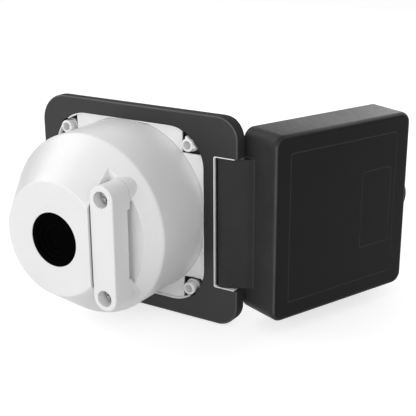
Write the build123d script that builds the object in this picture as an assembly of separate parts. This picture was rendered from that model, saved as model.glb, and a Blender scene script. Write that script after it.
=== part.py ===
from build123d import *
from math import cos, radians, sin, sqrt
import os

# Caravan power inlet for a flush wall mounting, in millimetres.
# Origin: where the axis of the plug socket meets the back of the frame, which is the wall plane.
# +Y runs into the wall, -Y out of it, +Z up. The lid is hinged on the -X side, about an axis along Z.
# Depths are Y values, so what is further out of the wall has the lower depth.

# Frame and its window
window_side = 92.2
window_corner_radius = 20.0
frame_border = 7.9
frame_free_border = 8.65
frame_thickness = 6.5
frame_free_corner_radius = 15.0
frame_hinge_corner_radius = 11.5
frame_front_rounding = 2.5
frame_back_rounding = 1.1
web_thickness = 2.2
web_hole_radius = 33.2

# Hinge
notch_land = 5.7
notch_gap = 1.1
notch_length = 68.0
notch_corner_radius = 1.0
hinge_edge_inset = 9.15
hinge_depth = 3.3
liner_wall = 0.5
liner_depth = 5.8
liner_wall_depth = 1.5
liner_end_inset = 1.9
pin_diameter = 3.0
pin_length = 90.0
pin_end_gap = 0.8
barrel_radius = 3.2
tongue_rise = 12.0
tongue_start_angle = 140.0
open_angle = 111.8

# Lid
lid_hinge_inset = 8.9
lid_free_inset = 0.7
lid_overlap = 1.1
lid_depth = 24.1
lid_wall = 2.4
lid_end_draft = 2.2
lid_corner_radius = 6.0
lid_edge_rounding = 2.5
lid_seat_gap = 0.3
panel_inset = 9.0
panel_corner_radius = 2.0
panel_groove_width = 0.7
panel_groove_depth = 0.35
label_width = 21.0
label_height = 41.0
label_edge_inset = 14.5
tab_reach = 4.5
tab_width = 17.0
tab_thickness = 5.0
tab_face_inset = 5.6
tab_rounding = 0.9
seal_seat_depth = 0.6
seal_overlap = 0.8

# Inlet body
plate_margin = 4.1
plate_thickness = 2.5
plate_corner_radius = 5.5
plate_edge_rounding = 1.0
gasket_thickness = 1.0
gasket_inset = 0.6
shroud_bore_radius = 22.0
shroud_wall = 2.6
shroud_front_reach = 26.5
shroud_rear_depth = 15.0
shroud_rim_rounding = 0.8
keyway_width = 6.0
keyway_depth = 1.3
keyway_cover_width = 9.4
keyway_cover_wall = 1.7
fixing_margin = 8.4
fixing_hole_radius = 2.1
fixing_sink_radius = 4.1
boss_radius = 3.3
boss_foot_radius = 3.9
boss_step_depth = -2.8
boss_rim_rounding = 0.5
corner_lug_inset = 1.3
corner_lug_leg = 6.6
corner_lug_wall = 0.9
corner_lug_rounding = 0.6
corner_lug_recess = 1.2

# Rear cover
cover_gap = 0.12
flange_recess = 1.8
flange_notch_gap = 1.0
rim_recess = 0.15
rim_wall = 0.7
foot_draft = 1.75
shoulder_depth = 31.3
shoulder_rounding = 1.6
end_radius = 28.35
end_depth = 58.5
end_rounding = 1.3
cover_wall = 2.4
pocket_wall_reach = 21.0
pocket_floor_depth = 40.3
cable_slot_width = 13.0
cable_slot_height = 12.6
end_hole_radius = 13.4
seal_groove_width = 1.2
seal_groove_depth = 1.1
grommet_recess = 0.2
grommet_step_width = 2.6
grommet_step_depth = 0.7
grommet_steps = 3
grommet_skin = 1.0
grommet_lip = 2.2

# Strain relief
clamp_reach = 28.0
clamp_spacing = 48.0
clamp_width = 13.0
clamp_thickness = 13.8
clamp_seat_depth = 43.7
clamp_relief_length = 34.6
clamp_relief_depth = 1.5
clamp_tooth_width = 0.8
clamp_tooth_height = 0.4
clamp_tooth_spacing = 3.4
clamp_rounding = 0.8
clamp_sink_radius = 3.95
clamp_sink_depth = 7.0
post_radius = 5.2
insert_radius = 2.9
insert_length = 7.0

# Contacts
pin_circle_radius = 11.0
line_pin_radius = 2.5
earth_pin_radius = 3.5
contact_tip_inset = 4.8
contact_tip_chamfer = 1.1
contact_seat_step = 0.3
collar_step = 1.2
collar_thickness = 2.0
carrier_face_depth = 11.0
carrier_rear_depth = 18.5
carrier_edge = 0.6
carrier_ring_width = 1.8
carrier_ring_height = 1.5
carrier_lug_reach = 29.0
carrier_lug_radius = 3.6
carrier_rib_width = 2.4
retainer_radius = 16.6
retainer_thickness = 3.0
line_tail_radius = 3.4
earth_tail_radius = 4.0
tail_length = 15.5
wire_bore_radius = 2.2
wire_bore_depth = 9.0
terminal_end_inset = 4.6
plate_lift = 0.9
pressure_plate_width = 2.6
pressure_plate_length = 6.0
pressure_plate_thickness = 0.6
pressure_plate_corner = 0.5

# Fasteners
clamp_screw_radius = 2.0
clamp_screw_length = 12.0
clamp_head_radius = 3.6
clamp_head_height = 2.6
cover_screw_radius = 1.75
cover_screw_length = 20.0
cover_screw_head_radius = 3.5
column_radius = 4.0
column_depth = 13.0
column_inset = 2.35
carrier_screw_radius = 1.5
carrier_screw_length = 10.0
small_head_radius = 2.9
small_head_height = 2.0
retainer_screw_length = 8.0
terminal_screw_radius = 1.45
terminal_screw_length = 4.6
terminal_slot_width = 0.6
terminal_slot_depth = 0.8
recess_width = 1.0
recess_depth = 1.2
cross_share = 0.6
pan_rounding_share = 0.45
end_chamfer_share = 0.3

# Clearances; a cutter runs past the faces it opens by the last of them
slide_gap = 0.3
static_gap = 0.05
running_gap = 0.06
screw_gap = 0.2
overrun = 1.0

# Sizes that follow from those above
window_half = window_side / 2
pin_radius = pin_diameter / 2
notch_wall_reach = window_half + notch_land
hinge_reach = notch_wall_reach + notch_gap + barrel_radius
hinge_border_reach = hinge_reach + hinge_edge_inset
free_border_reach = window_half + frame_free_border
frame_width = hinge_border_reach + free_border_reach
frame_height = window_side + 2 * frame_border
frame_front = -frame_thickness
web_rear = frame_front + web_thickness
lid_hinge_side_reach = hinge_reach - lid_hinge_inset
lid_free_side_reach = window_half - lid_free_inset
lid_height = window_side + 2 * lid_overlap
lid_rim = frame_front - lid_seat_gap
lid_face = lid_rim - lid_depth
lid_ceiling = lid_face + lid_wall
plate_side = window_side - 2 * plate_margin
plate_rear = frame_front - gasket_thickness
plate_front = plate_rear - plate_thickness
shroud_front = -shroud_front_reach
shroud_radius = shroud_bore_radius + shroud_wall
fixing_reach = window_half - fixing_margin
corner_lug_place = fixing_reach - corner_lug_inset
flange_side = window_side - 2 * cover_gap
flange_rear = -flange_recess
flange_notch_reach = fixing_reach - boss_foot_radius - flange_notch_gap
foot_radius = flange_side / 2
shoulder_radius = foot_radius - foot_draft
cone_slope = (shoulder_radius - end_radius) / (end_depth - shoulder_depth)
cover_screw_reach = foot_radius - cover_wall - column_radius - column_inset
seal_groove_radius = foot_radius - cover_wall / 2 - static_gap
clamp_top = clamp_seat_depth + clamp_thickness
clamp_head_seat = clamp_top - clamp_sink_depth
carrier_ring_front = carrier_face_depth - carrier_ring_height
tail_end = carrier_rear_depth + tail_length
terminal_depth = tail_end - terminal_end_inset
hinge_line = Axis((-hinge_reach, -hinge_depth, 0), (0, 0, 1))


def slab(outline, front, rear):
    """Prism of an outline drawn in X and Z, from the front depth to the rear depth."""
    return extrude(Plane(origin=(0, rear, 0), x_dir=(1, 0, 0), z_dir=(0, -1, 0)) * outline, rear - front)


def rod(radius, front, rear, x=0.0, z=0.0):
    """Round bar along Y."""
    return slab(Pos(x, z) * Circle(radius), front, rear)


def turned(points, x=0.0, z=0.0):
    """Solid turned about an axis along Y, from points given as radius and depth."""
    return Pos(x, 0, z) * revolve(make_face(Polyline(*points, close=True)), Axis.Y)


def block(low, high):
    """Box between two corners."""
    size = [b - a for a, b in zip(low, high)]
    centre = [(a + b) / 2 for a, b in zip(low, high)]
    return Pos(*centre) * Box(*size)


def ring(outer, inner, front, rear):
    """Round ring about the socket axis."""
    return slab(Circle(outer) - Circle(inner), front, rear)


def frame_of(width, height, corner, line):
    """Outline of a thin border that runs inside a rounded rectangle."""
    inner = RectangleRounded(width - 2 * line, height - 2 * line, corner - line)
    return RectangleRounded(width, height, corner) - inner


def depth_range(edge):
    box = edge.bounding_box()
    return box.min.Y, box.max.Y


def edges_at_depth(solid, depth):
    """Edges that lie wholly at one depth."""
    return [e for e in solid.edges() if all(abs(y - depth) < 1e-4 for y in depth_range(e))]


def edges_between_depths(solid, front, rear):
    """Edges that run all the way from one depth to the other."""
    return [e for e in solid.edges() if all(abs(a - b) < 1e-4 for a, b in zip(depth_range(e), (front, rear)))]


def corner_places():
    """Centres of the four fixing screws, as X and Z."""
    return [(sx * fixing_reach, sz * fixing_reach) for sx in (-1, 1) for sz in (-1, 1)]


def cross_recess(reach, top, way):
    """Cross slot cut from the top of a screw head; way is +1 where the screw points along +Y."""
    low, high = sorted((top - way * overrun, top + way * recess_depth))
    return slab(Rectangle(2 * reach, recess_width) + Rectangle(recess_width, 2 * reach), low, high)


def countersunk(radius, head_radius, front, rear, x, z=0.0):
    """Countersunk hole or screw, with the wide end of its cone at the front."""
    return turned([(0, front), (head_radius, front), (radius, front + head_radius - radius),
                   (radius, rear), (0, rear)], x, z)


def pan_screw(radius, length, head_radius, head_height, seat, x=0.0, z=0.0):
    """Pan-head cross-slot screw with its head behind the seat and its shank in front of it."""
    top = seat + head_height
    head = rod(head_radius, seat, top)
    head = fillet(edges_at_depth(head, top), pan_rounding_share * head_height)
    shank = chamfer(edges_at_depth(rod(radius, seat - length, seat), seat - length), end_chamfer_share * radius)
    return Pos(x, 0, z) * (head + shank - cross_recess(cross_share * head_radius, top, -1))


# Frame, hinge liner and pin

def frame_outline(hinge_side_reach):
    """Outline of the frame up to a given reach on the hinge side."""
    width = free_border_reach + hinge_side_reach
    outline = Pos((free_border_reach - hinge_side_reach) / 2, 0) * Rectangle(width, frame_height)
    outline = fillet(outline.vertices().filter_by(lambda v: v.X > 0), frame_free_corner_radius)
    hinge_corners = outline.vertices().filter_by(lambda v: v.X < overrun - hinge_side_reach)
    return fillet(hinge_corners, frame_hinge_corner_radius)


def frame_plate():
    """Plate rounded at its front all round except along the hinge edge, which is cut square."""
    past_hinge = hinge_border_reach + 2 * frame_hinge_corner_radius
    plate = slab(frame_outline(past_hinge), frame_front, 0)
    plate = fillet(edges_at_depth(plate, frame_front), frame_front_rounding)
    plate &= slab(frame_outline(hinge_border_reach), frame_front - overrun, 0)
    return fillet(edges_at_depth(plate, 0), frame_back_rounding)


def notch_outline(inset):
    """Outline of the hinge notch, open past the hinge edge of the frame."""
    half_width = hinge_border_reach - notch_wall_reach - inset
    return Pos(-hinge_border_reach, 0) * RectangleRounded(2 * half_width, notch_length - 2 * inset,
                                                          notch_corner_radius)


def hinge_bore(radius):
    return Pos(-hinge_reach, -hinge_depth, 0) * Cylinder(radius, frame_height)


def lug_outline(growth=0.0):
    """Three-sided outline of the lug that fills one corner of the window."""
    low = corner_lug_place - growth
    high = low + corner_lug_leg + growth * (2 + sqrt(2))
    outline = make_face(Polyline((-low, low), (-high, low), (-low, high), close=True))
    return fillet(outline.vertices(), corner_lug_rounding + growth)


def corner_boss_outline(x, z, radius, growth=0.0):
    """Outline of a corner boss in X and Z. The upper one beside the hinge grows into a lug."""
    outline = Pos(x, z) * Circle(radius + growth)
    return outline + lug_outline(growth) if x < 0 < z else outline


def boss_clearances(front, rear):
    """Openings round the four corner bosses and the two cover screws."""
    cut = Part()
    for x, z in corner_places():
        cut += slab(corner_boss_outline(x, z, boss_foot_radius, slide_gap), front, rear)
    for side in (-1, 1):
        cut += rod(cover_screw_radius + slide_gap, front, rear, x=side * cover_screw_reach)
    return cut


def frame():
    solid = frame_plate()
    solid -= slab(RectangleRounded(window_side, window_side, window_corner_radius), web_rear, overrun)
    solid -= rod(web_hole_radius, frame_front - overrun, overrun)
    solid -= boss_clearances(frame_front - overrun, overrun)
    solid -= slab(notch_outline(0), frame_front - overrun, overrun)
    drill = Cylinder(pin_radius + static_gap, frame_height, align=(Align.CENTER, Align.CENTER, Align.MAX))
    return solid - Pos(-hinge_reach, -hinge_depth, pin_length / 2 + pin_end_gap) * drill


def hinge_liner():
    """Strip round the notch, deep along its two ends and shallow along its long wall."""
    keep = Pos(liner_end_inset - hinge_border_reach, 0) * Rectangle(frame_width, frame_height,
                                                                    align=(Align.MIN, Align.CENTER))
    solid = slab((notch_outline(0) - notch_outline(liner_wall)) & keep, -liner_depth, 0)
    half = frame_height / 2
    solid -= block((-notch_wall_reach - liner_wall - notch_corner_radius, frame_front, -half),
                   (0, -liner_wall_depth, half))
    return solid - hinge_bore(pin_radius + static_gap)


def hinge_pin():
    bar = Cylinder(pin_radius, pin_length)
    bar = chamfer(bar.edges().filter_by(GeomType.CIRCLE), end_chamfer_share * pin_radius)
    return Pos(-hinge_reach, -hinge_depth, 0) * bar


# Lid, drawn shut and then turned open about the hinge line

def lid_end(depth, inset=0.0):
    """X of the slightly drafted wall at the free end of the lid."""
    return lid_free_side_reach - inset - lid_end_draft * (lid_rim - depth) / lid_depth


def lid_block(inset, front, rear):
    """Box of the lid, or its hollow when inset by the wall."""
    hinge_x = -lid_hinge_side_reach + inset
    profile = make_face(Polyline((hinge_x, rear), (hinge_x, front), (lid_end(front, inset), front),
                                 (lid_end(rear, inset), rear), close=True))
    solid = extrude(profile, lid_height / 2 - inset, both=True)
    return fillet(edges_between_depths(solid, front, rear), lid_corner_radius - inset)


def lid_shell():
    outer = lid_block(0, lid_face, lid_rim)
    outer = fillet(edges_at_depth(outer, lid_face), lid_edge_rounding)
    solid = outer - lid_block(lid_wall, lid_ceiling, lid_rim + overrun)
    return solid - ring(shroud_radius + seal_overlap, shroud_bore_radius - seal_overlap,
                        lid_ceiling - seal_seat_depth, lid_ceiling + overrun)


def face_grooves():
    """Border line and empty label field on the face of the lid."""
    face_end = lid_end(lid_face)
    face_length = face_end + lid_hinge_side_reach
    centre = face_end - face_length / 2
    border = frame_of(face_length - 2 * panel_inset, lid_height - 2 * panel_inset,
                      panel_corner_radius, panel_groove_width)
    label = frame_of(label_width, label_height, panel_corner_radius, panel_groove_width)
    label_x = lid_free_side_reach - label_edge_inset - label_width / 2
    lines = Pos(centre, 0) * border + Pos(label_x, 0) * label
    return slab(lines, lid_face - overrun, lid_face + panel_groove_depth)


def tongue():
    """Hood and barrel that fill the notch of the frame and turn about the pin."""
    angle = radians(tongue_start_angle)
    start = (-hinge_reach + barrel_radius * cos(angle), -hinge_depth - barrel_radius * sin(angle))
    end = (-lid_hinge_side_reach, -hinge_depth - tongue_rise)
    inner_x = end[0] + lid_wall / 2
    under_x = -hinge_reach + barrel_radius
    back = TangentArc(start, end, tangent=(sin(angle), cos(angle)))
    rest = Polyline(end, (inner_x, end[1]), (inner_x, lid_rim), (under_x, lid_rim),
                    (under_x, -hinge_depth), (-hinge_reach, -hinge_depth), start)
    profile = make_face([*back.edges(), *rest.edges()])
    profile += Pos(-hinge_reach, -hinge_depth) * Circle(barrel_radius)
    half = notch_length / 2 - liner_wall - slide_gap
    return extrude(profile, half, both=True) - hinge_bore(pin_radius + running_gap)


def finger_tab():
    half = tab_width / 2
    radius = (half ** 2 + tab_reach ** 2) / (2 * tab_reach)
    disc = Pos(lid_free_side_reach + tab_reach - radius, 0) * Circle(radius)
    root = lid_end(lid_face, lid_wall / 2)
    keep = Pos(root, 0) * Rectangle(tab_width, 2 * tab_width, align=(Align.MIN, Align.CENTER))
    front = lid_face + tab_face_inset
    solid = slab(disc & keep, front, front + tab_thickness)
    return fillet(solid.edges().filter_by(GeomType.CIRCLE), tab_rounding)


def lid():
    solid = lid_shell() - face_grooves() + finger_tab() + tongue()
    return solid.rotate(hinge_line, -open_angle)


def lid_seal():
    solid = ring(shroud_radius + seal_overlap - static_gap, shroud_bore_radius - seal_overlap + static_gap,
                 lid_ceiling - seal_seat_depth, shroud_front - lid_seat_gap)
    return solid.rotate(hinge_line, -open_angle)


# Inlet body and its gasket

def body_gasket():
    side = plate_side - 2 * gasket_inset
    solid = slab(RectangleRounded(side, side, plate_corner_radius), plate_rear, frame_front)
    solid -= rod(web_hole_radius, plate_rear - overrun, overrun)
    return solid - boss_clearances(plate_rear - overrun, overrun)


def shroud():
    """Round socket wall with the cover of the keyway at the bottom."""
    solid = rod(shroud_radius, shroud_front, shroud_rear_depth)
    half = keyway_cover_width / 2
    solid += block((-half, shroud_front, -shroud_radius - keyway_cover_wall),
                   (half, shroud_rear_depth, -shroud_bore_radius))
    solid -= rod(shroud_bore_radius, shroud_front - overrun, shroud_rear_depth + overrun)
    half = keyway_width / 2
    solid -= block((-half, shroud_front - overrun, -shroud_bore_radius - keyway_depth),
                   (half, shroud_rear_depth + overrun, 0))
    return fillet(edges_at_depth(solid, shroud_front), shroud_rim_rounding)


def carrier_mounts():
    """Two ribbed columns above and below the socket that take the carrier's screws."""
    solid = Part()
    for side in (-1, 1):
        z = side * carrier_lug_reach
        low, high = sorted((side * (shroud_bore_radius + shroud_wall / 2), z))
        solid += rod(carrier_lug_radius, plate_rear - overrun, shroud_rear_depth, z=z)
        solid += block((-carrier_rib_width / 2, plate_rear - overrun, low),
                       (carrier_rib_width / 2, shroud_rear_depth, high))
        solid -= rod(carrier_screw_radius + static_gap, carrier_rear_depth - carrier_screw_length - overrun,
                     shroud_rear_depth + overrun, z=z)
    return solid


def corner_boss(x, z):
    """Screw tube from the plate through the frame to the wall plane."""
    solid = slab(corner_boss_outline(x, z, boss_foot_radius), plate_rear - overrun, boss_step_depth)
    tube = rod(boss_radius, boss_step_depth - overrun, 0, x, z)
    solid += fillet(edges_at_depth(tube, 0), boss_rim_rounding)
    if x < 0 < z:
        lug_end = -boss_rim_rounding
        hollow = offset(lug_outline(), -corner_lug_wall, kind=Kind.INTERSECTION)
        hollow -= Pos(x, z) * Circle(boss_radius)
        solid += slab(lug_outline(), boss_step_depth - overrun, lug_end)
        solid -= slab(hollow, lug_end - corner_lug_recess, overrun)
    return solid


def inlet_body():
    solid = slab(RectangleRounded(plate_side, plate_side, plate_corner_radius), plate_front, plate_rear)
    solid = fillet(edges_at_depth(solid, plate_front), plate_edge_rounding)
    solid -= rod(shroud_bore_radius, plate_front - overrun, plate_rear + overrun)
    solid += shroud()
    solid += carrier_mounts()
    for x, z in corner_places():
        solid += corner_boss(x, z)
        solid -= countersunk(fixing_hole_radius, fixing_sink_radius, plate_front, overrun, x, z)
    for side in (-1, 1):
        solid -= countersunk(cover_screw_radius + slide_gap, cover_screw_head_radius + static_gap,
                             plate_front, 0, side * cover_screw_reach)
    return solid


# Contacts and the parts that hold them

contact_kinds = {
    "earth_pin": (270.0, earth_pin_radius, earth_tail_radius),
    "line_pin": (150.0, line_pin_radius, line_tail_radius),
    "neutral_pin": (30.0, line_pin_radius, line_tail_radius),
}


def contact_centre(angle):
    return pin_circle_radius * cos(radians(angle)), pin_circle_radius * sin(radians(angle))


def collar_radius(radius, tail):
    return max(radius + collar_step, tail)


def contact(angle, radius, tail):
    """Turned pin with a collar in the carrier and a hollow tail for the wire."""
    x, z = contact_centre(angle)
    tip = shroud_front + contact_tip_inset
    seat = radius + contact_seat_step
    step = carrier_rear_depth - collar_thickness
    collar = collar_radius(radius, tail)
    bore = tail_end - wire_bore_depth
    solid = turned([(0, tip), (radius - contact_tip_chamfer, tip), (radius, tip + 2 * contact_tip_chamfer),
                    (radius, carrier_ring_front), (seat, carrier_ring_front), (seat, step), (collar, step),
                    (collar, carrier_rear_depth), (tail, carrier_rear_depth), (tail, tail_end),
                    (wire_bore_radius, tail_end), (wire_bore_radius, bore), (0, bore)], x, z)
    return solid - extrude(terminal_plane(angle) * Circle(terminal_screw_radius + static_gap), tail + overrun)


def contact_carrier():
    solid = rod(shroud_bore_radius - slide_gap, carrier_face_depth, shroud_rear_depth)
    solid = chamfer(edges_at_depth(solid, carrier_face_depth), carrier_edge)
    solid += rod(shroud_radius, shroud_rear_depth, carrier_rear_depth)
    for side in (-1, 1):
        z = side * carrier_lug_reach
        low, high = sorted((0, z))
        solid += rod(carrier_lug_radius, shroud_rear_depth, carrier_rear_depth, z=z)
        solid += block((-carrier_lug_radius, shroud_rear_depth, low),
                       (carrier_lug_radius, carrier_rear_depth, high))
        solid -= rod(carrier_screw_radius + static_gap, carrier_face_depth, carrier_rear_depth + overrun, z=z)
    for angle, radius, tail in contact_kinds.values():
        x, z = contact_centre(angle)
        seat = radius + contact_seat_step
        collar = collar_radius(radius, tail) + static_gap
        solid += rod(seat + carrier_ring_width, carrier_ring_front, carrier_rear_depth, x, z)
        solid -= rod(seat + static_gap, carrier_ring_front - overrun, carrier_rear_depth + overrun, x, z)
        solid -= rod(collar, carrier_rear_depth - collar_thickness, carrier_rear_depth + overrun, x, z)
    pilot = carrier_rear_depth + retainer_thickness - retainer_screw_length
    return solid - rod(carrier_screw_radius + static_gap, pilot - static_gap, carrier_rear_depth + overrun)


def pin_retainer():
    rear = carrier_rear_depth + retainer_thickness
    solid = rod(retainer_radius, carrier_rear_depth, rear)
    solid = chamfer(edges_at_depth(solid, rear), carrier_edge)
    for angle, radius, tail in contact_kinds.values():
        x, z = contact_centre(angle)
        solid -= rod(tail + static_gap, carrier_rear_depth - overrun, rear + overrun, x, z)
    return solid - rod(carrier_screw_radius + static_gap, carrier_rear_depth - overrun, rear + overrun)


def retainer_screw():
    return pan_screw(carrier_screw_radius, retainer_screw_length, small_head_radius, small_head_height,
                     carrier_rear_depth + retainer_thickness)


def carrier_screws():
    screw = pan_screw(carrier_screw_radius, carrier_screw_length, small_head_radius, small_head_height,
                      carrier_rear_depth)
    return Compound([Pos(0, 0, side * carrier_lug_reach) * screw for side in (-1, 1)])


def terminal_plane(angle, lift=0.0):
    """Plane across the tail of a contact at its screw, facing away from the socket axis."""
    x, z = contact_centre(angle)
    outward = (cos(radians(angle)), 0, sin(radians(angle)))
    return Plane(origin=(x, terminal_depth, z), x_dir=(0, 1, 0), z_dir=outward).offset(lift)


def pressure_plates():
    outline = RectangleRounded(pressure_plate_length, pressure_plate_width, pressure_plate_corner)
    return Compound([extrude(terminal_plane(angle, plate_lift) * outline, pressure_plate_thickness)
                     for angle, radius, tail in contact_kinds.values()])


def terminal_screws():
    """Slotted screw in each tail, with its end on the pressure plate."""
    lift = plate_lift + pressure_plate_thickness
    slot = Rectangle(2 * terminal_screw_radius + overrun, terminal_slot_width)
    screws = []
    for angle, radius, tail in contact_kinds.values():
        screw = extrude(terminal_plane(angle, lift) * Circle(terminal_screw_radius), terminal_screw_length)
        slot_floor = lift + terminal_screw_length - terminal_slot_depth
        screws.append(screw - extrude(terminal_plane(angle, slot_floor) * slot, overrun))
    return Compound(screws)


# Rear cover

def cone_radius(depth):
    """Radius of the cover's outside between its shoulder and its end."""
    return shoulder_radius - cone_slope * (depth - shoulder_depth)


def cup():
    """Outside of the cup: a drafted foot, a shoulder and a cone with a flat end."""
    solid = turned([(0, web_rear), (foot_radius, web_rear), (foot_radius, flange_rear),
                    (shoulder_radius, shoulder_depth), (end_radius, end_depth), (0, end_depth)])
    solid = fillet(edges_at_depth(solid, shoulder_depth), shoulder_rounding)
    return fillet(edges_at_depth(solid, end_depth), end_rounding)


def cup_hollow():
    """Inside of the cup, one wall thickness in from its outside."""
    slant = cover_wall * sqrt(1 + cone_slope ** 2)
    floor = end_depth - cover_wall
    bend = shoulder_depth - (slant - cover_wall) / cone_slope
    return turned([(0, web_rear - overrun), (foot_radius - cover_wall, web_rear - overrun),
                   (foot_radius - cover_wall, flange_rear), (shoulder_radius - cover_wall, bend),
                   (cone_radius(floor) - slant, floor), (0, floor)])


def pocket(wall):
    """Space cut from the side of the cone for the strain relief, or that space with its walls."""
    return block((-frame_width, pocket_floor_depth - wall, -frame_width),
                 (wall - pocket_wall_reach, 2 * end_depth, frame_width))


def cover_flange():
    """Square flange, notched round the corner bosses, with a thin rim that lines the window."""
    corner = window_corner_radius - cover_gap
    solid = slab(RectangleRounded(flange_side, flange_side, corner), web_rear, flange_rear)
    notch = window_half
    for sx in (-1, 1):
        for sz in (-1, 1):
            place = Pos(sx * (flange_notch_reach + notch / 2), sz * (flange_notch_reach + notch / 2))
            solid -= slab(place * Rectangle(notch, notch), web_rear - overrun, overrun)
    rim = slab(frame_of(flange_side, flange_side, corner, rim_wall), web_rear, -rim_recess)
    for x, z in corner_places():
        rim -= slab(corner_boss_outline(x, z, boss_foot_radius, slide_gap), web_rear - overrun, overrun)
    return solid + rim - rod(foot_radius - cover_wall, web_rear - overrun, overrun)


def cable_slot():
    """Arched opening in the flat wall, through which the cable comes under the bar."""
    straight = cable_slot_height - cable_slot_width / 2
    start = (-pocket_wall_reach - overrun, pocket_floor_depth, 0)
    plane = Plane(origin=start, x_dir=(0, 1, 0), z_dir=(1, 0, 0))
    arch = Pos(straight, 0) * Circle(cable_slot_width / 2)
    arch += Rectangle(2 * straight, cable_slot_width)
    keep = Rectangle(end_depth, end_depth, align=(Align.MIN, Align.CENTER))
    return extrude(plane * (arch & keep), cover_wall + 2 * overrun)


def clamp_places():
    """Centres of the two posts of the strain relief, as X and Z."""
    return [(-clamp_reach, side * clamp_spacing / 2) for side in (-1, 1)]


def rear_cover():
    solid = (cup() - pocket(0)) - (cup_hollow() - pocket(cover_wall))
    solid += cover_flange()
    for side in (-1, 1):
        x = side * cover_screw_reach
        low, high = sorted((x, side * (foot_radius - cover_wall / 2)))
        solid += rod(column_radius, web_rear, column_depth, x=x)
        solid += block((low, web_rear, -column_radius / 2), (high, column_depth, column_radius / 2))
        bore_end = plate_front + cover_screw_length + static_gap
        solid -= rod(cover_screw_radius + static_gap, web_rear - overrun, bore_end, x=x)
    insert_end = clamp_seat_depth - insert_length
    screw_end = clamp_head_seat - clamp_screw_length
    for x, z in clamp_places():
        solid += rod(post_radius, shoulder_depth, clamp_seat_depth, x, z)
        solid -= rod(insert_radius + static_gap, insert_end, clamp_seat_depth + overrun, x, z)
        solid -= rod(clamp_screw_radius + screw_gap, screw_end - screw_gap, clamp_seat_depth, x, z)
    solid -= rod(end_hole_radius, end_depth - cover_wall - overrun, end_depth + overrun)
    solid -= cable_slot()
    half = seal_groove_width / 2
    return solid - ring(seal_groove_radius + half, seal_groove_radius - half,
                        web_rear - overrun, web_rear + seal_groove_depth)


def cover_seal():
    half = seal_groove_width / 2 - static_gap
    return ring(seal_groove_radius + half, seal_groove_radius - half,
                web_rear, web_rear + seal_groove_depth - static_gap)


def cable_grommet():
    """Blind stepped rubber disc that closes the end hole, held behind the end wall by its lip."""
    radius = end_hole_radius - static_gap
    depth = end_depth - grommet_recess
    points = [(radius, depth)]
    for step in range(grommet_steps):
        radius -= grommet_step_width
        points.append((radius, depth))
        depth -= grommet_step_depth
        points.append((radius, depth))
    lip_rear = end_depth - cover_wall - static_gap
    lip_front = min(depth, lip_rear) - grommet_skin
    lip = end_hole_radius + grommet_lip
    neck = end_hole_radius - static_gap
    points += [(0, depth), (0, lip_front), (lip, lip_front), (lip, lip_rear), (neck, lip_rear)]
    return turned(points)


# Strain relief

def clamp_bar():
    bar = slab(Pos(-clamp_reach, 0) * Rot(0, 0, 90) * SlotCenterToCenter(clamp_spacing, clamp_width),
               clamp_seat_depth, clamp_top)
    bar = fillet(edges_at_depth(bar, clamp_top), clamp_rounding)
    bar = chamfer(edges_at_depth(bar, clamp_seat_depth), clamp_rounding)
    half = clamp_relief_length / 2
    floor = clamp_seat_depth + clamp_relief_depth
    bar -= block((-clamp_reach - clamp_width, clamp_seat_depth - overrun, -half),
                 (-clamp_reach + clamp_width, floor, half))
    for step in (-1, 0, 1):
        x = -clamp_reach + step * clamp_tooth_spacing
        bar += block((x - clamp_tooth_width / 2, floor - clamp_tooth_height, -half / 2),
                     (x + clamp_tooth_width / 2, floor + clamp_tooth_height, half / 2))
    for x, z in clamp_places():
        bar -= rod(clamp_sink_radius, clamp_head_seat, clamp_top + overrun, x, z)
        bar -= rod(clamp_screw_radius + screw_gap, clamp_seat_depth - overrun, clamp_top, x, z)
    return bar


def clamp_screws():
    return Compound([pan_screw(clamp_screw_radius, clamp_screw_length, clamp_head_radius, clamp_head_height,
                               clamp_head_seat, x, z) for x, z in clamp_places()])


def clamp_inserts():
    return Compound([rod(insert_radius, clamp_seat_depth - insert_length, clamp_seat_depth - static_gap, x, z)
                     - rod(clamp_screw_radius + static_gap, 0, clamp_seat_depth + overrun, x, z)
                     for x, z in clamp_places()])


def cover_screws():
    front = plate_front + static_gap
    tip = plate_front + cover_screw_length
    screw = countersunk(cover_screw_radius, cover_screw_head_radius, front, tip, 0)
    screw -= cross_recess(cross_share * cover_screw_head_radius, front, 1)
    return Compound([Pos(side * cover_screw_reach, 0, 0) * screw for side in (-1, 1)])


parts = {
    "frame": frame(),
    "hinge_liner": hinge_liner(),
    "hinge_pin": hinge_pin(),
    "lid": lid(),
    "lid_seal": lid_seal(),
    "body_gasket": body_gasket(),
    "inlet_body": inlet_body(),
    "contact_carrier": contact_carrier(),
    "pin_retainer": pin_retainer(),
    "retainer_screw": retainer_screw(),
    "carrier_screws": carrier_screws(),
    "terminal_screws": terminal_screws(),
    "pressure_plates": pressure_plates(),
    "cover_screws": cover_screws(),
    "cover_seal": cover_seal(),
    "rear_cover": rear_cover(),
    "cable_grommet": cable_grommet(),
    "clamp_bar": clamp_bar(),
    "clamp_screws": clamp_screws(),
    "clamp_inserts": clamp_inserts(),
}
for name, (angle, radius, tail) in contact_kinds.items():
    parts[name] = contact(angle, radius, tail)

os.makedirs("parts", exist_ok=True)
for name, solid in parts.items():
    export_step(solid, f"parts/{name}.step")
    print(name, round(solid.volume, 1))
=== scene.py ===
import math

import bpy
from mathutils import Matrix, Vector

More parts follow.
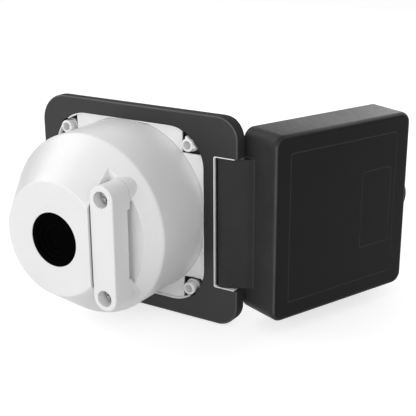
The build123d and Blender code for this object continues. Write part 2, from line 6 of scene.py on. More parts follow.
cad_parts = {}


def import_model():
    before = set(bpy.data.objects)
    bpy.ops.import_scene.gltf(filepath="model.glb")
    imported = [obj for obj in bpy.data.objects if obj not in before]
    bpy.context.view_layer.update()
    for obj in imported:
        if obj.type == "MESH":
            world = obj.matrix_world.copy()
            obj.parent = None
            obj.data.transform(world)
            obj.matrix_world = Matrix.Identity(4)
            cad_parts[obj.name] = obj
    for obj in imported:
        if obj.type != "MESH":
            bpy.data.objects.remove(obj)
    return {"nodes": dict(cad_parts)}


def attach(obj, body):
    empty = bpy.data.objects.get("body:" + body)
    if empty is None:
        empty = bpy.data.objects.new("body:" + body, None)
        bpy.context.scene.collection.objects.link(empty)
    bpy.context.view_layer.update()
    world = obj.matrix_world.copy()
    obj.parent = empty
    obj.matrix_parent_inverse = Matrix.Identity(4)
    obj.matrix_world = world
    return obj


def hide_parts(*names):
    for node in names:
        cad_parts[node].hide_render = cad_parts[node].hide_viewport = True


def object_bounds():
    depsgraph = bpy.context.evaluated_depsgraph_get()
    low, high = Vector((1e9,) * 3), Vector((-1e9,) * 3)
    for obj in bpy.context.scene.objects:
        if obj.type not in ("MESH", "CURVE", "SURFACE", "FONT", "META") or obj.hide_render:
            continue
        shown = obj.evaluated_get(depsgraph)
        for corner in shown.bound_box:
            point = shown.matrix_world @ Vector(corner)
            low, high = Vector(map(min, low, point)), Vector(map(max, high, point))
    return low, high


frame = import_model()
cad_low, cad_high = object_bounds()
nodes = frame["nodes"]

# Camera, in degrees, metres and millimetres of lens
CAMERA_AZIMUTH = 211.982
CAMERA_ELEVATION = 18.751
CAMERA_ROLL = -0.277
CAMERA_DISTANCE = 0.48102
CAMERA_ASIDE = 0.04126
CAMERA_RAISE = -0.001195
CAMERA_LENS = 80.28
SENSOR_WIDTH = 36.0
CLIP_NEAR = 0.01
CLIP_FAR = 50.0

# Directions of the object
INTO_WALL = (0.0, 1.0, 0.0)
UP = (0.0, 0.0, 1.0)
DOWN = (0.0, 0.0, -1.0)
ACROSS_AXIS = (1.0, 0.0, 1.0)

# Open lid: the way that its face looks, as an angle from straight out of the wall, the way that the edge
# between the face and the hinge wall looks, and the way that the lid reaches from the hinge
LID_OPEN_ANGLE = math.radians(111.8)
LID_EDGE_ANGLE = math.radians(111.8 + 45.0)
LID_FACE_NORMAL = (-math.sin(LID_OPEN_ANGLE), -math.cos(LID_OPEN_ANGLE), 0.0)
LID_EDGE_NORMAL = (-math.sin(LID_EDGE_ANGLE), -math.cos(LID_EDGE_ANGLE), 0.0)
LID_REACH_WAY = (math.cos(LID_OPEN_ANGLE), -math.sin(LID_OPEN_ANGLE), 0.0)

# Outside of the rear cover, as radius and depth in metres: the solid's shoulder and pocket floor, and the
# fuller shoulder and higher floor that the photograph shows
COVER_FOOT = Vector((0.04598, -0.0018))
COVER_END = Vector((0.02835, 0.0585))
END_ROUNDING = 0.0013
SOLID_SHOULDER = Vector((0.04423, 0.0313))
SOLID_ROUNDING = 0.0016
SOLID_FLOOR = 0.0403
FULL_SHOULDER = Vector((0.04588, 0.0338))
FULL_ROUNDING = 0.0035
FULL_FLOOR = 0.0419
CONE = 2

# Pocket wall as X, the two posts as X and Z, and their radius in the solid and in full, in metres
POCKET_WALL = -0.021
POST_PLACES = ((-0.028, 0.024), (-0.028, -0.024))
POST_RADIUS = 0.0052
FULL_POST_RADIUS = 0.00645

# Corners of the cover's flange and the screw tubes that stand in them, in metres
NOTCH_REACH = 0.0328
FLANGE_FRONT = -0.0043
THIN_FLANGE_FRONT = -0.0028
TUBE_REACH = 0.0377
TUBE_ZONE = 0.008
TUBE_END_ZONE = -0.0006
TUBE_RISE = 0.0015

# Relief under the clamp bar, in metres
RELIEF_HALF = 0.0173
RELIEF_FLOOR = 0.0452
RELIEF_ZONE = 0.0005
RELIEF_RISE = 0.00125

# How near to a face a point counts as on it, in metres, and how alike the normals of one face are
ON_FACE = 0.00003
SAME_FACE = 0.9

# Stage, in metres
FLOOR_SIZE = 8.0
FLOOR_GAP = 0.0004
FLOOR_GLOW = 0.66
FLOOR_SPECULAR = 0.1
FLAG_SIZE = 0.55
FLAG_DISTANCE = 0.55
FLAG_WAY = Vector((0.98, -0.20, 0.05))
FLAG_SPECULAR = 0.0
STAGE_ROUGHNESS = 0.9
WORLD_STRENGTH = 0.42

# Lights: their distance, and for each the way to it, its size in metres and its power in watts
LIGHT_DISTANCE = 1.2
KEY_WAY = Vector((0.12, 1.0, 0.12))
KEY_SIZE = 1.2
KEY_POWER = 9.5
SIDE_WAY = Vector((0.8, 0.1, 0.75))
SIDE_SIZE = 1.0
SIDE_POWER = 7.0
FILL_WAY = Vector((-0.75, 0.6, 0.25))
FILL_SIZE = 0.8
FILL_POWER = 3.3
FRONT_WAY = Vector((-0.1, -1.0, 0.15))
FRONT_SIZE = 1.0
FRONT_POWER = 7.0

# Colours, linear
WHITE = (1.0, 1.0, 1.0)
FRAME_BLACK = (0.012, 0.012, 0.0125)
# The lid's blacks paint light and shade: the face darker, the walls and the top side paler, the top side
# darker near the hinge
LID_SHADED_FACE_BLACK = (0.006, 0.006, 0.0065)
LID_LIT_WALL_BLACK = (0.030, 0.030, 0.031)
LID_SHADED_TOP_BLACK = (0.010, 0.010, 0.0105)
LID_LIT_TOP_BLACK = (0.088, 0.088, 0.090)
# Painted light: the lid's shallow grooves are made paler than its face
LID_GROOVE_GREY = (0.060, 0.060, 0.061)
WHITE_PLASTIC = (0.80, 0.80, 0.80)
# Painted shade, deep in narrow gaps and in a faint line at the cover's foot
CREVICE_GREY = (0.015, 0.015, 0.015)
GREY_PLASTIC = (0.16, 0.165, 0.17)
BLACK_RUBBER = (0.0008, 0.0008, 0.0008)
STEEL = (0.55, 0.55, 0.56)
CONTACT_METAL = (0.72, 0.62, 0.38)
STAGE_WHITE = (0.60, 0.60, 0.60)
FLAG_BLACK = (0.01, 0.01, 0.01)

# Masks by direction, as the cosines at which each starts and is full: the lid's painted edge highlight, the
# painted light of its top side and painted shade of its face, and the matt sides
LID_EDGE_TURN = (0.955, 0.995)
LID_TOP_TURN = (0.4, 0.9)
LID_FACE_TURN = (0.80, 0.97)
MATT_TURN = (0.85, 0.30)

# Rounded back edge of the frame, where a highlight is painted: the cosines between which it lies, and how
# softly it starts and ends
FRAME_EDGE_TURN = (0.80, 0.965)
TURN_FADE = 0.06
FLAT_FADE = 0.03

# Masks by place, as the distances in metres at which each starts and is full: the lid's painted edge
# highlight and the painted light of its top side, the painted shade in corners and pocket, and the faint line
# of painted shade at the cover's foot
LID_WALL_SPAN = (0.0322, 0.0328)
LID_TOP_SPAN = (0.0322, 0.072)
CORNER_SPAN = (0.0478, 0.0490)
POCKET_SPAN = (0.036, 0.038)
POCKET_HALF_SPAN = (0.0205, 0.0195)
FOOT_LINE_INNER_SPAN = (0.04598, 0.04603)
FOOT_LINE_OUTER_SPAN = (0.04643, 0.04638)
FOOT_LINE_STRENGTH = 0.35

# Masks by openness, from 0 deep in a gap to 1 in the open, and how far they look, in metres; they place
# painted shade in narrow gaps and painted light in grooves
CREVICE_REACH = 0.0032
CREVICE_OPENNESS = (0.14, 0.36)
GROOVE_REACH = 0.001
GROOVE_OPENNESS = (0.55, 0.90)
MASK_SAMPLES = 6

# Noise, in cells per metre, with its detail and the parts of it that are used
NOISE_ROUGHNESS = 0.55
RICH_DETAIL = 4.0
PLAIN_DETAIL = 3.0
FINE_DETAIL = 2.0
MOTTLE_CELLS = 55.0
HIGHLIGHT_CELLS = 60.0
TARNISH_CELLS = 160.0
RUBBED_CELLS = 260.0
GLOSS_CELLS = 420.0
LINE_CELLS = 900.0
FULL_RANGE = (0.0, 1.0)
MIDDLE_OF_NOISE = (0.3, 0.7)
RUBBED_PATCHES = (0.40, 0.62)

# Worn edges: the cosines between a true and a softened normal, the softening in metres; and the least
# strength of the painted edge highlight
SHARP_EDGE = (0.86, 0.995)
EDGE_RADIUS = 0.0003
LEAST_HIGHLIGHT = 0.55

# Gloss and tint of the plastics and metals, and the depth and stretch of machining lines
GLOSS_SPREAD = 0.05
METAL_GLOSS_LESS = 0.06
METAL_GLOSS_MORE = 0.08
METAL_DARK = 0.82
METAL_BRIGHT = 1.06
LINE_DEPTH = 0.000006
SCREW_STRETCH = (1.0, 0.05, 1.0)
CONTACT_STRETCH = (1.0, 12.0, 1.0)


def new_material(name):
    """Material with its node tree and its Principled shader."""
    material = bpy.data.materials.new(name)
    material.use_nodes = True
    tree = material.node_tree
    return material, tree, tree.nodes["Principled BSDF"]


def add(tree, kind, **values):
    """New node with its properties and input defaults set by name."""
    node = tree.nodes.new(kind)
    for key, value in values.items():
        if key in node.inputs:
            node.inputs[key].default_value = value
        else:
            setattr(node, key, value)
    return node


def object_place(tree):
    """Place on the object, in metres."""
    return tree.nodes.new("ShaderNodeTexCoord").outputs["Object"]


def noise(tree, coordinates, scale, detail, stretch=None):
    """Noise in object space; the scale is in cells per metre, and stretch scales each axis."""
    source = coordinates
    if stretch:
        mapping = add(tree, "ShaderNodeMapping", Scale=stretch)
        tree.links.new(coordinates, mapping.inputs["Vector"])
        source = mapping.outputs["Vector"]
    node = add(tree, "ShaderNodeTexNoise", Scale=scale, Detail=detail, Roughness=NOISE_ROUGHNESS)
    tree.links.new(source, node.inputs["Vector"])
    return node.outputs["Fac"]


def spread(tree, value, low, high, start, end):
    """Map a value from the range between start and end on to the one between low and high."""
    node = add(tree, "ShaderNodeMapRange")
    node.inputs["From Min"].default_value = start
    node.inputs["From Max"].default_value = end
    node.inputs["To Min"].default_value = low
    node.inputs["To Max"].default_value = high
    tree.links.new(value, node.inputs["Value"])
    return node.outputs["Result"]


def combined(tree, operation, first, second):
    """Two numbers put together by an operation of the maths node."""
    node = add(tree, "ShaderNodeMath", operation=operation)
    tree.links.new(first, node.inputs[0])
    tree.links.new(second, node.inputs[1])
    return node.outputs["Value"]


def product(tree, first, second):
    return combined(tree, "MULTIPLY", first, second)


def larger(tree, first, second):
    return combined(tree, "MAXIMUM", first, second)


def colour_socket(sockets, name):
    """Socket of a mix that has a given name and carries a colour."""
    return [s for s in sockets if s.name == name and s.type == "RGBA"][0]


def blend_colour(tree, factor, first, second):
    """Mix of two colours, each a colour or a socket."""
    node = tree.nodes.new("ShaderNodeMix")
    node.data_type = "RGBA"
    tree.links.new(factor, node.inputs["Factor"])
    for name, value in (("A", first), ("B", second)):
        socket = colour_socket(node.inputs, name)
        if isinstance(value, tuple):
            socket.default_value = (*value, 1.0)
        else:
            tree.links.new(value, socket)
    return colour_socket(node.outputs, "Result")


def tint(tree, colour, factor):
    """Lighter or darker version of a colour that may be a socket."""
    if isinstance(colour, tuple):
        return tuple(min(1.0, c * factor) for c in colour)
    node = add(tree, "ShaderNodeVectorMath", operation="SCALE", Scale=factor)
    tree.links.new(colour, node.inputs[0])
    return node.outputs["Vector"]


def dot_with(tree, vector, direction):
    """Dot product of a vector with a fixed direction."""
    dot = add(tree, "ShaderNodeVectorMath", operation="DOT_PRODUCT")
    tree.links.new(vector, dot.inputs[0])
    dot.inputs[1].default_value = direction
    return dot.outputs["Value"]


def facing(tree, direction, start, end):
    """0 to 1 as the surface turns towards a direction of the object, between two cosines."""
    normal = tree.nodes.new("ShaderNodeTexCoord").outputs["Normal"]
    return spread(tree, dot_with(tree, normal, direction), *FULL_RANGE, start, end)


def between(tree, direction, low, high):
    """1 where the surface is half turned towards a direction, as a rounded edge is, and 0 on flat faces."""
    turned_in = facing(tree, direction, low - TURN_FADE, low + TURN_FADE)
    not_flat = facing(tree, direction, high + FLAT_FADE, high - TURN_FADE)
    return product(tree, turned_in, not_flat)


def beyond(tree, direction, start, end):
    """0 to 1 along a direction of the object, between two distances in metres."""
    return spread(tree, dot_with(tree, object_place(tree), direction), *FULL_RANGE, start, end)


def from_axis(tree, start, end):
    """0 to 1 between two distances from the axis of the cover, in metres."""
    flat = add(tree, "ShaderNodeVectorMath", operation="MULTIPLY")
    tree.links.new(object_place(tree), flat.inputs[0])
    flat.inputs[1].default_value = ACROSS_AXIS
    length = add(tree, "ShaderNodeVectorMath", operation="LENGTH")
    tree.links.new(flat.outputs["Vector"], length.inputs[0])
    return spread(tree, length.outputs["Value"], *FULL_RANGE, start, end)


def gap_mask(tree, reach, openness):
    """1 deep in a gap and 0 in the open."""
    node = add(tree, "ShaderNodeAmbientOcclusion", samples=MASK_SAMPLES, Distance=reach)
    return spread(tree, node.outputs["AO"], 1.0, 0.0, *openness)


def crevice_mask(tree):
    """Painted shade: 1 deep in narrow gaps of the corners and the pocket, a faint line at the cover's foot,
    else 0.
    """
    above = beyond(tree, UP, *POCKET_HALF_SPAN)
    below = beyond(tree, DOWN, *POCKET_HALF_SPAN)
    pocket = product(tree, beyond(tree, INTO_WALL, *POCKET_SPAN), product(tree, above, below))
    places = larger(tree, from_axis(tree, *CORNER_SPAN), pocket)
    narrow = product(tree, gap_mask(tree, CREVICE_REACH, CREVICE_OPENNESS), places)
    inner = from_axis(tree, *FOOT_LINE_INNER_SPAN)
    outer = from_axis(tree, *FOOT_LINE_OUTER_SPAN)
    faint = spread(tree, product(tree, inner, outer), 0.0, FOOT_LINE_STRENGTH, *FULL_RANGE)
    return larger(tree, narrow, faint)


def groove_mask(tree):
    """1 in shallow grooves and 0 on open faces."""
    return gap_mask(tree, GROOVE_REACH, GROOVE_OPENNESS)


def edge_mask(tree, where):
    """1 along convex and concave edges, broken up by noise, and the softened normal."""
    bevel = add(tree, "ShaderNodeBevel", samples=MASK_SAMPLES, Radius=EDGE_RADIUS)
    true_normal = tree.nodes.new("ShaderNodeNewGeometry").outputs["Normal"]
    dot = add(tree, "ShaderNodeVectorMath", operation="DOT_PRODUCT")
    tree.links.new(bevel.outputs["Normal"], dot.inputs[0])
    tree.links.new(true_normal, dot.inputs[1])
    sharp = spread(tree, dot.outputs["Value"], 1.0, 0.0, *SHARP_EDGE)
    patches = noise(tree, where, RUBBED_CELLS, RICH_DETAIL)
    patchy = spread(tree, patches, *FULL_RANGE, *RUBBED_PATCHES)
    return product(tree, sharp, patchy), bevel.outputs["Normal"]


def frame_edge_highlight(tree):
    """Rounded back edge of the frame, painted pale as a highlight."""
    return between(tree, INTO_WALL, *FRAME_EDGE_TURN)


def lid_edge_highlight(tree):
    """Rounded edge between the face of the lid and its hinge wall, painted pale as a highlight."""
    edge = facing(tree, LID_EDGE_NORMAL, *LID_EDGE_TURN)
    return product(tree, edge, beyond(tree, LID_REACH_WAY, *LID_WALL_SPAN))


def lid_lit_and_shaded_colour(tree):
    """Lid black with painted light and shade: darker face, paler walls, top side paler away from the hinge.
    """
    away = beyond(tree, LID_REACH_WAY, *LID_TOP_SPAN)
    top = blend_colour(tree, away, LID_SHADED_TOP_BLACK, LID_LIT_TOP_BLACK)
    walls = blend_colour(tree, facing(tree, UP, *LID_TOP_TURN), LID_LIT_WALL_BLACK, top)
    return blend_colour(tree, facing(tree, LID_FACE_NORMAL, *LID_FACE_TURN), walls, LID_SHADED_FACE_BLACK)


def patchy_highlight(tree, where):
    """Strength of the painted edge highlight, which varies from place to place."""
    patches = noise(tree, where, HIGHLIGHT_CELLS, PLAIN_DETAIL)
    return spread(tree, patches, LEAST_HIGHLIGHT, 1.0, *MIDDLE_OF_NOISE)


def mottled(tree, where, colour, variation):
    """Colour that is a little lighter and darker in broad patches."""
    broad = noise(tree, where, MOTTLE_CELLS, RICH_DETAIL)
    patches = spread(tree, broad, *FULL_RANGE, *MIDDLE_OF_NOISE)
    return blend_colour(tree, patches, tint(tree, colour, 1 - variation), tint(tree, colour, 1 + variation))


def moulded_gloss(tree, where, roughness, matt_away):
    """Roughness that varies a little, and is full away from a direction of the object if one is given."""
    medium = noise(tree, where, GLOSS_CELLS, PLAIN_DETAIL)
    gloss = spread(tree, medium, roughness - GLOSS_SPREAD, roughness + GLOSS_SPREAD, *MIDDLE_OF_NOISE)
    if matt_away:
        gloss = larger(tree, gloss, facing(tree, matt_away, *MATT_TURN))
    return gloss


def add_bump(tree, shader, height, depth, normal=None):
    """Bump of a depth in metres, on a softened normal if one is given."""
    bump = add(tree, "ShaderNodeBump", Strength=1.0, Distance=depth)
    tree.links.new(height, bump.inputs["Height"])
    if normal:
        tree.links.new(normal, bump.inputs["Normal"])
    tree.links.new(bump.outputs["Normal"], shader.inputs["Normal"])


def moulded(name, colour, roughness, grain, depth, variation=0.06, wear_and_highlight=1.25, specular=0.5,
            painted_edge_highlight=None, crevice_shade=None, matt_away=None, grooves=None):
    """Moulded material: fine grain, mottled colour and gloss, and worn edges made paler.

    A mask of edges painted pale as a highlight can be given in place of the worn edges, and so can a colour
    of painted shade for crevices and one of painted light for grooves, and a direction away from which the
    surface is matt.
    """
    material, tree, shader = new_material(name)
    if callable(colour):
        colour = colour(tree)
    where = object_place(tree)
    worn_and_lit_edge, normal = edge_mask(tree, where)
    if painted_edge_highlight:
        worn_and_lit_edge = product(tree, painted_edge_highlight(tree), patchy_highlight(tree, where))
    # Paler edges: the worn edges, which a painted edge highlight replaces where a mask of one is given.
    base_colour = blend_colour(tree, worn_and_lit_edge, mottled(tree, where, colour, variation), tint(tree, colour, wear_and_highlight))
    # Painted shade deep in narrow gaps and in a faint line at the cover's foot
    if crevice_shade:
        base_colour = blend_colour(tree, crevice_mask(tree), base_colour, crevice_shade)
    # Painted light: shallow grooves are made paler
    if grooves:
        base_colour = blend_colour(tree, groove_mask(tree), base_colour, grooves)
    tree.links.new(base_colour, shader.inputs["Base Color"])
    tree.links.new(moulded_gloss(tree, where, roughness, matt_away), shader.inputs["Roughness"])
    add_bump(tree, shader, noise(tree, where, grain, FINE_DETAIL), depth, normal)
    shader.inputs["Specular IOR Level"].default_value = specular
    return material


def turned_metal(name, colour, roughness, stretch):
    """Metal with fine machining lines and slight tarnish."""
    material, tree, shader = new_material(name)
    where = object_place(tree)
    broad = noise(tree, where, TARNISH_CELLS, RICH_DETAIL)
    tarnish = spread(tree, broad, *FULL_RANGE, *MIDDLE_OF_NOISE)
    base_colour = blend_colour(tree, tarnish, tint(tree, colour, METAL_DARK), tint(tree, colour, METAL_BRIGHT))
    tree.links.new(base_colour, shader.inputs["Base Color"])
    lines = noise(tree, where, LINE_CELLS, RICH_DETAIL, stretch)
    least = roughness - METAL_GLOSS_LESS
    most = roughness + METAL_GLOSS_MORE
    tree.links.new(spread(tree, lines, least, most, *MIDDLE_OF_NOISE), shader.inputs["Roughness"])
    add_bump(tree, shader, lines, LINE_DEPTH)
    shader.inputs["Metallic"].default_value = 1.0
    return material


def seen_directly(tree):
    """1 for rays from the camera and for reflected or transmitted ones, else 0."""
    path = tree.nodes.new("ShaderNodeLightPath")
    total = path.outputs["Is Camera Ray"]
    for name in ("Is Glossy Ray", "Is Transmission Ray"):
        total = larger(tree, total, path.outputs[name])
    return total


def matt_material(name, colour, specular):
    """Plain matt material, with its node tree and its shader."""
    material, tree, shader = new_material(name)
    shader.inputs["Base Color"].default_value = (*colour, 1.0)
    shader.inputs["Roughness"].default_value = STAGE_ROUGHNESS
    shader.inputs["Specular IOR Level"].default_value = specular
    return material, tree, shader


def floor_material():
    """Pale matt floor; where it is seen it also glows, so it shows white but for a soft shadow."""
    material, tree, shader = matt_material("stage_white", STAGE_WHITE, FLOOR_SPECULAR)
    shader.inputs["Emission Color"].default_value = (*WHITE, 1.0)
    glow = spread(tree, seen_directly(tree), 0.0, FLOOR_GLOW, *FULL_RANGE)
    tree.links.new(glow, shader.inputs["Emission Strength"])
    return material


def dress():
    """Give every node of the frame its material."""
    # The frame's rounded back edge is painted pale as a highlight.
    black = moulded("frame_moulding", FRAME_BLACK, roughness=0.36, grain=3200.0, depth=0.00003,
                    variation=0.10, wear_and_highlight=6.5, specular=0.40, painted_edge_highlight=frame_edge_highlight, matt_away=INTO_WALL)
    # The lid's colour paints light and shade by direction, and its edge highlight and pale grooves are
    # painted too.
    lid_black = moulded("lid_moulding", lid_lit_and_shaded_colour, roughness=0.42, grain=3200.0, depth=0.00003,
                        variation=0.10, wear_and_highlight=2.6, specular=0.10, painted_edge_highlight=lid_edge_highlight,
                        grooves=LID_GROOVE_GREY)
    # The white moulding gets painted shade in its crevices.
    white = moulded("white_moulding", WHITE_PLASTIC, roughness=0.38, grain=1800.0, depth=0.000012,
                    variation=0.018, wear_and_highlight=1.04, crevice_shade=CREVICE_GREY)
    grey = moulded("grey_moulding", GREY_PLASTIC, roughness=0.45, grain=2400.0, depth=0.00002)
    rubber = moulded("black_rubber", BLACK_RUBBER, roughness=0.75, grain=2600.0, depth=0.00003,
                     variation=0.15, wear_and_highlight=1.4, specular=0.01)
    steel = turned_metal("zinc_steel", STEEL, roughness=0.30, stretch=SCREW_STRETCH)
    contact = turned_metal("contact_metal", CONTACT_METAL, roughness=0.24, stretch=CONTACT_STRETCH)
    looks = {
        "frame": black, "lid": lid_black, "hinge_liner": white, "hinge_pin": steel, "lid_seal": rubber,
        "body_gasket": rubber, "inlet_body": white, "contact_carrier": grey, "pin_retainer": grey,
        "retainer_screw": steel, "carrier_screws": steel, "terminal_screws": steel,
        "pressure_plates": steel, "cover_screws": steel, "cover_seal": rubber, "rear_cover": white,
        "cable_grommet": rubber, "clamp_bar": white, "clamp_screws": steel, "clamp_inserts": contact,
        "line_pin": contact, "neutral_pin": contact, "earth_pin": contact,
    }
    for name, material in looks.items():
        mesh = nodes[name].data
        mesh.materials.clear()
        mesh.materials.append(material)


def line(start, end):
    """Straight stretch of an outline.

    Gives a function for the point and outward normal at a share of its length, one for the share at which
    a point lies, and the depth at which the stretch ends.
    """
    way = (end - start).normalized()
    normal = Vector((way.y, -way.x))

    def at(share):
        return start.lerp(end, share), normal

    def share_of(point):
        return (point.y - start.y) / (end.y - start.y)

    return at, share_of, end.y


def arc(start, end, centre):
    """Round stretch of an outline, in the same terms as a straight one."""
    radius = (start - centre).length
    first = math.atan2(start.y - centre.y, start.x - centre.x)
    last = math.atan2(end.y - centre.y, end.x - centre.x)

    def at(share):
        angle = first + (last - first) * share
        normal = Vector((math.cos(angle), math.sin(angle)))
        return centre + normal * radius, normal

    def share_of(point):
        return (math.atan2(point.y - centre.y, point.x - centre.x) - first) / (last - first)

    return at, share_of, end.y


def rounded(before, corner, after, radius):
    """Ends and centre of the arc that rounds a corner of an outline."""
    one = (before - corner).normalized()
    two = (after - corner).normalized()
    half = one.angle(two) / 2
    reach = radius / math.tan(half)
    centre = corner + (one + two).normalized() * radius / math.sin(half)
    return corner + one * reach, corner + two * reach, centre


def cover_outline(shoulder, rounding):
    """Outside of the cover from its foot over the shoulder and down the cone to its flat end."""
    first, second, centre = rounded(COVER_FOOT, shoulder, COVER_END, rounding)
    end_axis = Vector((0.0, COVER_END.y))
    third, fourth, end_centre = rounded(shoulder, COVER_END, end_axis, END_ROUNDING)
    return [line(COVER_FOOT, first), arc(first, second, centre), line(second, third),
            arc(third, fourth, end_centre)]


def on_outline(outline, point):
    """Stretch and share of the outline that a point lies on, or None."""
    for place, (at, share_of, end_depth) in enumerate(outline):
        if point.y <= end_depth + ON_FACE:
            share = min(max(share_of(point), 0.0), 1.0)
            if (at(share)[0] - point).length < ON_FACE:
                return place, share
            if point.y < end_depth - ON_FACE:
                return None
    return None


def post_of(point):
    """Centre of the post whose wall a point lies on, or None."""
    for x, z in POST_PLACES:
        if abs(math.hypot(point.x - x, point.z - z) - POST_RADIUS) < ON_FACE:
            return x, z
    return None


def wider_post(point, post):
    """Point of a post's wall, moved out to the post's full radius."""
    x, z = post
    more = FULL_POST_RADIUS / POST_RADIUS
    return Vector((x + (point.x - x) * more, point.y, z + (point.z - z) * more))


def in_bare_corner(point):
    """Whether a point is on the rim in one of the two corners of the hinge side, where the rim is low."""
    upper = point.z > NOTCH_REACH + ON_FACE and point.x < -NOTCH_REACH - ON_FACE
    lower = point.z < -NOTCH_REACH and point.x < -TUBE_REACH
    return (upper or lower) and point.y > FLANGE_FRONT


def on_notch_edge(point):
    """Whether a point is on the front edge of one of the flange's notches."""
    across, along = sorted((abs(point.x), abs(point.z)))
    beside = abs(across - NOTCH_REACH) < ON_FACE and along > across - ON_FACE
    return beside and abs(point.y - FLANGE_FRONT) < ON_FACE


def moved_inside(point, post):
    """Full place of a point that isn't on the cover's round outside."""
    on_floor = point.x < POCKET_WALL + ON_FACE and abs(point.y - SOLID_FLOOR) < ON_FACE
    if post:
        point = wider_post(point, post)
    if on_floor:
        point.y = FULL_FLOOR
    if on_notch_edge(point):
        point.y = THIN_FLANGE_FRONT
    return point


def round_axis(outward, normal):
    """Normal of an outline, turned round the cover's axis to where a point is."""
    return outward * normal.x + Vector((0.0, normal.y, 0.0))


def placed(name, data):
    """New object in the scene."""
    made = bpy.data.objects.new(name, data)
    bpy.context.collection.objects.link(made)
    return made


def refit_mesh(node, name, move):
    """Copy of a node's mesh with its points moved; a moved face can get the normal that goes with it."""
    source = nodes[node].data
    normals = [corner.vector.copy() for corner in source.corner_normals]
    mesh = source.copy()
    mesh.name = name
    turned = {}
    for vertex in mesh.vertices:
        place, turn = move(vertex.co.copy())
        vertex.co = place
        if turn:
            turned[vertex.index] = turn
    for corner, loop in enumerate(mesh.loops):
        if loop.vertex_index in turned:
            was, becomes = turned[loop.vertex_index]
            if normals[corner].dot(was) > SAME_FACE:
                normals[corner] = becomes
    mesh.normals_split_custom_set(normals)
    piece = placed(name, mesh)
    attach(piece, "inlet")
    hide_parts(node)


def fuller_cover():
    """Rear cover with the full shoulder, high pocket floor, thin flange and wide posts of the photograph."""
    solid = cover_outline(SOLID_SHOULDER, SOLID_ROUNDING)
    full = cover_outline(FULL_SHOULDER, FULL_ROUNDING)
    cone, cone_share, _ = full[CONE]
    cone_start = cone(0.0)[0]
    cone_stop = cone(1.0)[0]
    solid_floor_share = solid[CONE][1](Vector((0.0, SOLID_FLOOR)))
    full_floor_share = cone_share(Vector((0.0, FULL_FLOOR)))

    def cone_depth(radius):
        share = (radius - cone_start.x) / (cone_stop.x - cone_start.x)
        return cone_start.y + (cone_stop.y - cone_start.y) * share

    def full_share(place, share):
        """Share of the full outline's stretch; on the cone the two pocket floors are at the same one."""
        if place != CONE:
            return share
        if share < solid_floor_share:
            return share * full_floor_share / solid_floor_share
        past_floor = (share - solid_floor_share) / (1.0 - solid_floor_share)
        return full_floor_share + past_floor * (1.0 - full_floor_share)

    def moved_outside(point, post, flat, outward):
        """Full place of a point on the cover's round outside."""
        if post:
            wider = wider_post(point, post)
            depth = min(FULL_FLOOR, cone_depth(math.hypot(wider.x, wider.z)))
            return Vector((wider.x, depth, wider.z))
        if abs(point.x - POCKET_WALL) < ON_FACE and point.y > SOLID_FLOOR - ON_FACE:
            side = math.copysign(math.sqrt(flat.x ** 2 - point.x ** 2), point.z)
            return Vector((point.x, flat.y, side))
        return Vector((outward.x * flat.x, flat.y, outward.z * flat.x))

    def move(point):
        if in_bare_corner(point):
            return Vector((point.x, FLANGE_FRONT + ON_FACE, point.z)), None
        radius = math.hypot(point.x, point.z)
        post = post_of(point)
        found = on_outline(solid, Vector((radius, point.y)))
        if not found:
            return moved_inside(point, post), None
        place, share = found
        was = solid[place][0](share)[1]
        flat, becomes = full[place][0](full_share(place, share))
        outward = Vector((point.x / radius, 0.0, point.z / radius))
        turn = (round_axis(outward, was), round_axis(outward, becomes))
        return moved_outside(point, post, flat, outward), turn

    refit_mesh("rear_cover", "rear_cover_outside", move)


def longer_tubes():
    """Inlet body whose four screw tubes stand a little out of the frame, as the photograph shows."""
    def move(point):
        away = math.hypot(abs(point.x) - TUBE_REACH, abs(point.z) - TUBE_REACH)
        if away < TUBE_ZONE and point.y > TUBE_END_ZONE:
            point.y += TUBE_RISE
        return point, None

    refit_mesh("inlet_body", "inlet_body_tubes", move)


def hollower_bar():
    """Clamp bar with the deeper relief under it that the photograph shows."""
    def move(point):
        if abs(point.z) < RELIEF_HALF + ON_FACE and abs(point.y - RELIEF_FLOOR) < RELIEF_ZONE:
            point.y += RELIEF_RISE
        return point, None

    refit_mesh("clamp_bar", "clamp_bar_outside", move)


def square(name, size, level, material):
    """Flat square piece of the stage, at a height above its own origin."""
    half = size / 2
    corners = [(-half, -half, level), (half, -half, level), (half, half, level), (-half, half, level)]
    mesh = bpy.data.meshes.new(name)
    mesh.from_pydata(corners, [], [(0, 1, 2, 3)])
    mesh.materials.append(material)
    return placed(name, mesh)


def stage():
    """White floor just under the object."""
    floor = square("floor", FLOOR_SIZE, cad_low.z - FLOOR_GAP, floor_material())


def aim(made, way):
    """Turn a card or a light so that it looks back along the way that leads to it."""
    made.rotation_mode = "QUATERNION"
    made.rotation_quaternion = way.to_track_quat("Z", "Y")


def flag():
    """Black card beside the object, on the side away from the lid, that the camera doesn't see."""
    card = square("flag", FLAG_SIZE, 0.0, matt_material("flag_black", FLAG_BLACK, FLAG_SPECULAR)[0])
    way = FLAG_WAY.normalized()
    card.location = way * FLAG_DISTANCE
    aim(card, way)
    card.visible_camera = False


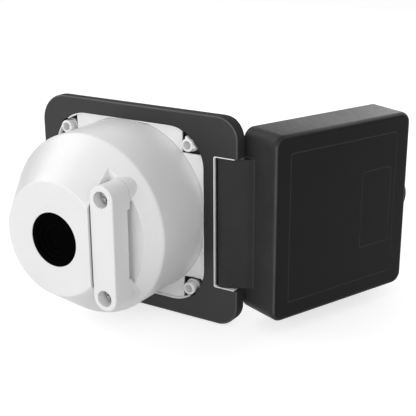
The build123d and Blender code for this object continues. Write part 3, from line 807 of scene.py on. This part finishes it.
def world():
    """Plain white surroundings: full white to the camera and to glossy rays, softer as light."""
    made = bpy.data.worlds.new("studio")
    bpy.context.scene.world = made
    made.use_nodes = True
    tree = made.node_tree
    background = tree.nodes["Background"]
    background.inputs["Color"].default_value = (*WHITE, 1.0)
    strength = spread(tree, seen_directly(tree), WORLD_STRENGTH, 1.0, *FULL_RANGE)
    tree.links.new(strength, background.inputs["Strength"])


def area_light(name, way, size, power):
    """Square soft light that looks at the middle of the object."""
    data = bpy.data.lights.new(name, "AREA")
    data.shape = "SQUARE"
    data.size = size
    data.energy = power
    light = placed(name, data)
    light.location = (cad_low + cad_high) / 2 + way.normalized() * LIGHT_DISTANCE
    aim(light, way)


def lights():
    """Large soft lights: behind the wall, high on the side away from the lid, weak on the lid's, in front."""
    area_light("key_light", KEY_WAY, KEY_SIZE, KEY_POWER)
    area_light("side_light", SIDE_WAY, SIDE_SIZE, SIDE_POWER)
    area_light("fill_light", FILL_WAY, FILL_SIZE, FILL_POWER)
    area_light("front_light", FRONT_WAY, FRONT_SIZE, FRONT_POWER)


def camera_axes():
    """Right, up and back directions of the camera at the photograph's angle."""
    azimuth = math.radians(CAMERA_AZIMUTH)
    elevation = math.radians(CAMERA_ELEVATION)
    roll = math.radians(CAMERA_ROLL)
    out = math.cos(elevation)
    back = Vector((math.sin(azimuth) * out, -math.cos(azimuth) * out, math.sin(elevation)))
    level = Vector((math.cos(azimuth), math.sin(azimuth), 0.0))
    rise = back.cross(level)
    right = level * math.cos(roll) + rise * math.sin(roll)
    up = rise * math.cos(roll) - level * math.sin(roll)
    return right, up, back


def camera():
    """Camera at the photograph's angle and distance."""
    right, up, back = camera_axes()
    data = bpy.data.cameras.new("camera")
    data.sensor_width = SENSOR_WIDTH
    data.lens = CAMERA_LENS
    data.clip_start = CLIP_NEAR
    data.clip_end = CLIP_FAR
    made = placed("camera", data)
    eye = back * CAMERA_DISTANCE + right * CAMERA_ASIDE + up * CAMERA_RAISE
    turn = Matrix((right, up, back)).transposed().to_4x4()
    made.matrix_world = Matrix.Translation(eye) @ turn
    bpy.context.scene.camera = made


dress()
fuller_cover()
longer_tubes()
hollower_bar()
stage()
flag()
world()
lights()
camera()
bpy.context.scene.view_settings.view_transform = "Standard"
